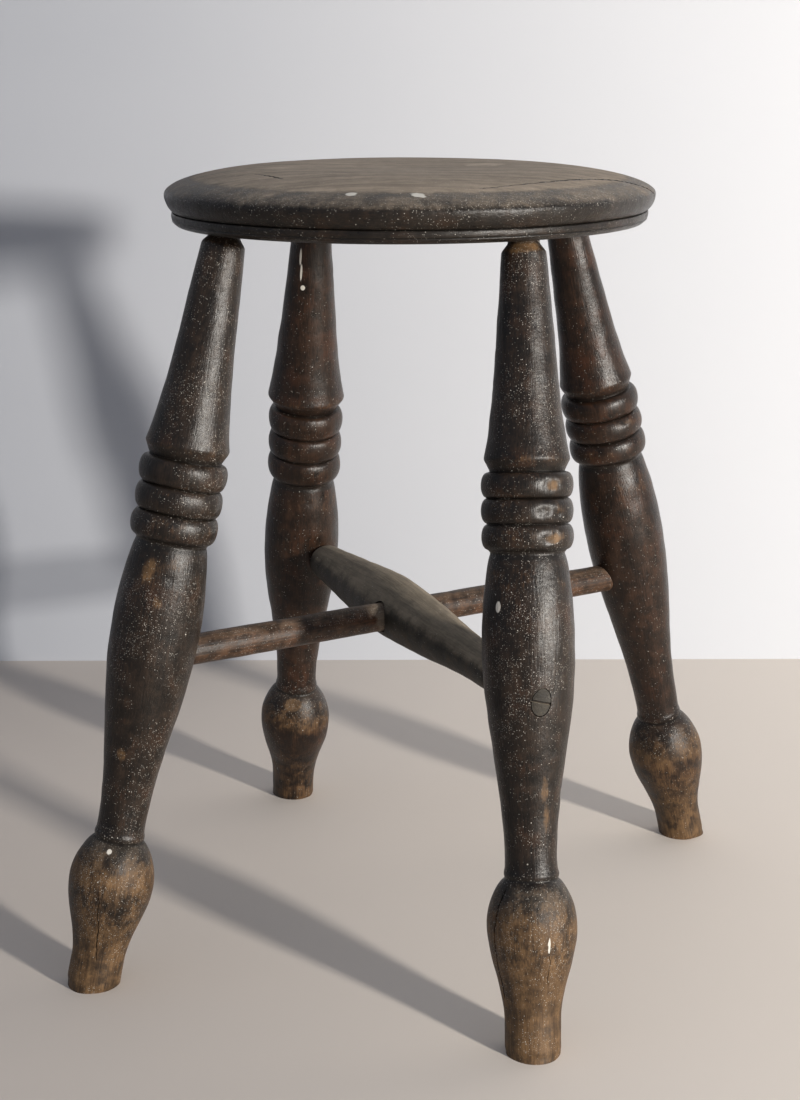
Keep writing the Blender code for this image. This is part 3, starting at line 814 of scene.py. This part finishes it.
def make_seat():
    line, radius_line = resampled(seat_outline(), 0.0005, 0.0004)
    kept = (radius_line > RIM_EDGE) | (np.arange(len(line)) % 4 == 0)
    kept[0] = kept[-1] = True
    line, radius_line = line[kept], radius_line[kept]
    radius_line[0] = radius_line[-1] = 0
    angles = even_angles(256, len(line))
    heights, radii, points = turned_surface(line, radius_line, angles)
    top = smooth_step(RIM_MIDDLE, CROWN_HEIGHT, heights)
    rim = smooth_step(0.140, 0.155, radii) * smooth_step(0.0004, 0.002, heights)
    middle = smooth_step(0.0, 0.02, radii)
    heights = heights - top * middle * (0.0002 + 0.00015 * (1 + ripple(points, 0.05, 5)))
    dents = spot_field(random_dents(9, 90, GROOVE_HEIGHT, RIM_MIDDLE + 0.012), heights, angles, radii) * rim
    radii = radii - rim * (dents + 0.00018 * ripple(points, 0.03, 6) + 0.00006 * ripple(points, 0.006, 7))
    across = points[..., 0] / SEAT_RADIUS
    heights = heights + across * (0.0006 * smooth_step(0.016, 0, heights) - 0.0006 * top)
    turn = Matrix.Rotation(CAMERA_TURN, 4, "Z") @ Matrix.Translation((*SEAT_SHIFT, SEAT_UNDERSIDE))
    blot_points = points + np.array((*SEAT_SHIFT, SEAT_UNDERSIDE))
    material = aged_wood("seat_finish", FINISHES["seat"], turn)
    mesh = turned_mesh("seat", heights, np.maximum(radii, 0), angles)
    above = heights > RIM_MIDDLE
    dusty = np.where(above, smooth_step(DUST_EDGE + 0.007, DUST_EDGE - 0.005, radii), 0)
    # Painted shade in the rim's two grooves
    grooves = hump(heights, GROOVE_HEIGHT, 0.0008) + hump(heights, FINE_GROOVE_HEIGHT, 0.0004)
    band = hump(heights, RIM_MIDDLE + 0.0075, 0.0055) * rim
    give_fields(
        mesh,
        wear=0.10 * band,
        crease=grooves * rim * 0.9,
        dust=0.72 * dusty + 0.16 * band + blots(PALE_PATCHES, blot_points),
        specks=0.75 * band * (0.4 + 0.6 * smooth_step(-0.5, 1, ripple(points, 0.04, 8))),
        paint=blots(PAINT_BLOTS, blot_points),
    )
    seat = add_piece("seat_look", mesh, turn, material, "seat_wood", "seat")
    for width, depth, path in SEAT_CRACKS:
        cut(seat, blade_mesh(path, width, depth), Matrix.Identity(4))


def surface_from(piece, start, direction):
    """Where a ray from start first meets a piece, with the normal there."""
    hit, place, normal, _ = piece.ray_cast(start, direction)
    if not hit:
        raise ValueError("the ray misses " + piece.name)
    return place, normal


def bar_ends(legs, first, second, matrix, inside):
    """Where a bar ends along its own axis, this far inside the surfaces of two legs."""
    start = matrix.to_translation()
    ends = []
    for name, side in ((first, -1), (second, 1)):
        place, _ = surface_from(legs[name], start, matrix.to_3x3() @ Vector((0, 0, side)))
        ends.append(side * ((place - start).length + inside))
    return ends


def oval_cylinder(half_width, half_height, low, high):
    mesh = bpy.data.meshes.new("oval")
    with editing(mesh) as shape:
        bmesh.ops.create_cone(shape, cap_ends=True, segments=64, radius1=1, radius2=1, depth=high - low)
        bmesh.ops.scale(shape, verts=shape.verts, vec=(half_width, half_height, 1))
        bmesh.ops.translate(shape, verts=shape.verts, vec=(0, 0, (low + high) / 2))
    return mesh


def tenon_end(leg, matrix, reach, side, sink, half_width, tall, kerf):
    """A patch that closes the tenon's oval hole along the leg's surface, as far as tall above and below.

    Rows within the kerf are sunk deeper. The patch has a short skirt, so that its edge has depth.
    """
    steps = 30
    rows = {-tall + 2 * tall * i / steps for i in range(steps + 1)} | {-kerf, kerf, -kerf * 1.4, kerf * 1.4}
    rows = sorted(y for y in rows if -tall <= y <= tall)
    onward = matrix.to_3x3() @ Vector((0, 0, side))
    grid = []
    for y in rows:
        half = half_width * math.sqrt(max(1 - (y / TENON_HALF_HEIGHT) ** 2, 0.004))
        line = []
        for j in range(19):
            outside = matrix @ Vector((half * (j / 9 - 1), y, side * (reach + 3 * BULB_RADIUS)))
            place, normal = surface_from(leg, outside, -onward)
            deep = KERF_DEPTH if abs(y) < kerf * 1.1 else 0
            line.append(place - normal * sink - onward * deep)
        grid.append(line)
    mesh = bpy.data.meshes.new("tenon_end")
    wide = len(grid[0])
    faces = []
    for i in range(len(rows) - 1):
        for j in range(wide - 1):
            a = i * wide + j
            faces.append((a, a + 1, a + wide + 1, a + wide))
    to_frame = matrix.inverted()
    mesh.from_pydata([to_frame @ p for line in grid for p in line], [], faces)
    with editing(mesh) as shape:
        rim = [e for e in shape.edges if e.is_boundary]
        skirt = bmesh.ops.extrude_edge_only(shape, edges=rim)["geom"]
        moved = [v for v in skirt if isinstance(v, bmesh.types.BMVert)]
        bmesh.ops.translate(shape, verts=moved, vec=(0, 0, -side * 0.005))
        bmesh.ops.edgeloop_fill(shape, edges=[e for e in shape.edges if e.is_boundary])
        bmesh.ops.recalc_face_normals(shape, faces=shape.faces)
    return mesh


def rough_bar(name, outline, columns, seed, amount):
    """A turned bar with a slightly uneven surface, and the heights and points of its even one."""
    line, radius_line = resampled(outline, 0.0012, 0.0006)
    angles = even_angles(columns, len(line))
    heights, radii, points = turned_surface(line, radius_line, angles)
    dents = spot_field(random_dents(seed, 40, line[0], line[-1]), heights, angles, radii)
    shape = amount * (ripple(points, 0.05, seed) + 0.35 * ripple(points, 0.010, seed + 1)) - dents
    return turned_mesh(name, heights, np.maximum(radii + shape * (radii > 0.004), 0), angles), heights, points


def make_barrel(legs):
    names = ("back_left", "front_right")
    matrix, reach = stretcher_frame(*names, BARREL_RISE, BORE_SHIFTS)
    finish = aged_wood("barrel_finish", FINISHES["barrel"], matrix)
    wedge_finish = aged_wood("wedge_finish", FINISHES["wedge"], matrix)
    outline = barrel_outline(reach, *bar_ends(legs, *names, matrix, SHOULDER_IN_LEG))
    mesh, _, points = rough_bar("stretcher_barrel", outline, 112, 31, 0.00022)
    give_fields(mesh, wear=0.06 * ripple(points, 0.03, 33), dust=0.10)

    tilt = matrix @ Matrix.Rotation(WEDGE_TILT, 4, "Z")
    patches = []
    for name, side in zip(names, (-1, 1)):
        place = (legs[name], tilt, reach, side)
        patches.append(tenon_end(*place, PATCH_SINK, TENON_HALF_WIDTH, TENON_HALF_HEIGHT * 0.999, KERF_HALF))
        patches[-1].transform(tilt)
        wedge = tenon_end(*place, WEDGE_SINK, TENON_HALF_WIDTH * 0.97, WEDGE_HALF, 0)
        give_fields(wedge)
        add_piece("wedge_" + name + "_look", wedge, tilt, wedge_finish, "wedge_wood", "wedge_" + name)
    for name, start in zip(names, (-reach - HOLE_START - HOLE_LENGTH, reach + HOLE_START)):
        hole = oval_cylinder(TENON_HALF_WIDTH + TENON_GAP, TENON_HALF_HEIGHT + TENON_GAP, 0, HOLE_LENGTH)
        cut(legs[name], hole, tilt @ Matrix.Translation((0, 0, start)))

    # The mouth is cut before the patches join, because a Boolean needs a mesh that doesn't cross itself
    barrel = add_piece("stretcher_barrel_look", mesh, matrix, finish, "barrel_wood", "stretcher_barrel")
    rod_frame, _ = stretcher_frame("front_left", "back_right")
    mouth = oval_cylinder(ROD_MOUTH_RADIUS, ROD_MOUTH_RADIUS, -2 * BARREL_RADIUS, -0.004)
    cut(barrel, mouth, rod_frame)
    with editing(barrel.data) as shape:
        for patch in patches:
            shape.from_mesh(patch)
    shade_smooth(barrel.data)


def make_rod(legs):
    matrix, _ = stretcher_frame("front_left", "back_right")
    finish = aged_wood("rod_finish", FINISHES["rod"], matrix)
    low, high = bar_ends(legs, "front_left", "back_right", matrix, ROD_IN_LEG)
    outline = [(low, 0), (low, ROD_RADIUS), (high, ROD_RADIUS), (high, 0)]
    mesh, heights, points = rough_bar("stretcher_rod", outline, 72, 51, 0.00016)
    give_fields(
        mesh,
        wear=0.10 + 0.12 * ripple(points, 0.04, 53),
        dust=0.9 * hump(heights, -ROD_DUST, 0.0055) * (1 + 0.5 * ripple(points, 0.006, 54)),
        specks=0.04,
    )
    add_piece("stretcher_rod_look", mesh, matrix, finish, "rod_wood", "stretcher_rod")


# Surroundings


def surface_with_painted_light(name, shaded_colour, lit_colour, see_through=False):
    """A matt surface whose colour holds painted light: duller on its left and brighter on its right, as the
    lamp stands to the right.

    A see-through one is clear from behind.
    """
    tree = Tree(name)
    turned = {"Vector": tree.add("TexCoord").outputs["Object"], "Rotation": (0, 0, -CAMERA_TURN)}
    place = tree.add("Mapping", turned).outputs[0]
    across = tree.add("SeparateXYZ", {0: place}).outputs[0]
    uneven = tree.math("MULTIPLY", tree.noise(place, 3.0, 4), 0.1)
    # Painted light: the colour goes from shaded on the left to lit on the right
    share = tree.step(tree.math("ADD", across, uneven), -0.55, 0.65)
    tree.set(tree.shader, "Base Color", tree.mix(share, shaded_colour, lit_colour))
    tree.shader.inputs["Roughness"].default_value = 0.8
    tree.shader.inputs["Specular IOR Level"].default_value = 0.25
    if see_through:
        back = tree.add("NewGeometry").outputs["Backfacing"]
        clear = tree.add("BsdfTransparent").outputs[0]
        both = tree.add("MixShader", {0: back, 1: tree.shader.outputs[0], 2: clear})
        tree.links.new(both.outputs[0], tree.nodes["Material Output"].inputs[0])
    return tree.material


def add_plane(name, corners, material):
    mesh = bpy.data.meshes.new(name)
    mesh.from_pydata(corners, [], [(0, 1, 2, 3)])
    mesh.materials.append(material)
    plane = bpy.data.objects.new(name, mesh)
    bpy.context.scene.collection.objects.link(plane)


def make_room():
    turn = Matrix.Rotation(CAMERA_TURN, 4, "Z")
    # Floor and wall colours run from painted shade on the left to painted light on the right
    floor_paint_and_light = surface_with_painted_light("floor_paint_and_light", rgb(0.54, 0.485, 0.440), rgb(0.82, 0.745, 0.665))
    add_plane("floor", [(-6, -6, 0), (6, -6, 0), (6, 6, 0), (-6, 6, 0)], floor_paint_and_light)
    wall = [(-3, WALL_DISTANCE, 0), (3, WALL_DISTANCE, 0), (3, WALL_DISTANCE, 2.2), (-3, WALL_DISTANCE, 2.2)]
    wall_paint_and_light = surface_with_painted_light("wall_paint_and_light", rgb(0.36, 0.375, 0.41), rgb(0.62, 0.635, 0.665), True)
    add_plane("wall", [turn @ Vector(p) for p in wall], wall_paint_and_light)
    world = bpy.data.worlds.new("room")
    world.use_nodes = True
    bpy.context.scene.world = world
    world.node_tree.nodes["Background"].inputs[0].default_value = rgb(0.76, 0.84, 1.0)
    world.node_tree.nodes["Background"].inputs[1].default_value = 0.36


def add_area(name, bearing, elevation, distance, size, power, colour):
    """A soft lamp that looks at the stool's middle. Its bearing goes to the right from the camera's side."""
    lamp = bpy.data.lights.new(name, "AREA")
    lamp.shape, lamp.size, lamp.size_y = "RECTANGLE", size[0], size[1]
    lamp.energy, lamp.color = power, colour
    lamp_object = bpy.data.objects.new(name, lamp)
    bpy.context.scene.collection.objects.link(lamp_object)
    target = Vector((0, 0, 0.30))
    angle = math.radians(bearing) + CAMERA_TURN
    rise = math.radians(elevation)
    away = Vector((math.sin(angle) * math.cos(rise), -math.cos(angle) * math.cos(rise), math.sin(rise)))
    lamp_object.location = target + away * distance
    lamp_object.rotation_euler = away.to_track_quat("Z", "Y").to_euler()


def make_camera():
    camera = bpy.data.cameras.new("camera")
    camera.lens, camera.sensor_width = CAMERA_LENS, 36
    camera.clip_start = 0.05
    camera_object = bpy.data.objects.new("camera", camera)
    bpy.context.scene.collection.objects.link(camera_object)
    turn = Euler((math.pi / 2 - CAMERA_DOWN, 0, CAMERA_TURN)).to_matrix()
    turn = (turn @ Matrix.Rotation(CAMERA_ROLL, 3, "Z")).to_4x4()
    camera_object.matrix_world = Matrix.Translation(CAMERA_PLACE) @ turn
    bpy.context.scene.camera = camera_object


def main():
    bpy.context.scene.view_settings.view_transform = "Standard"
    make_camera()
    make_room()
    add_area("window", 43, 10, 4.0, (0.24, 0.30), 235, (1.0, 0.95, 0.88))
    legs = {name: make_leg(name, leg, 10 * seed + 1) for seed, (name, leg) in enumerate(LEGS.items())}
    make_seat()
    make_barrel(legs)
    make_rod(legs)


main()
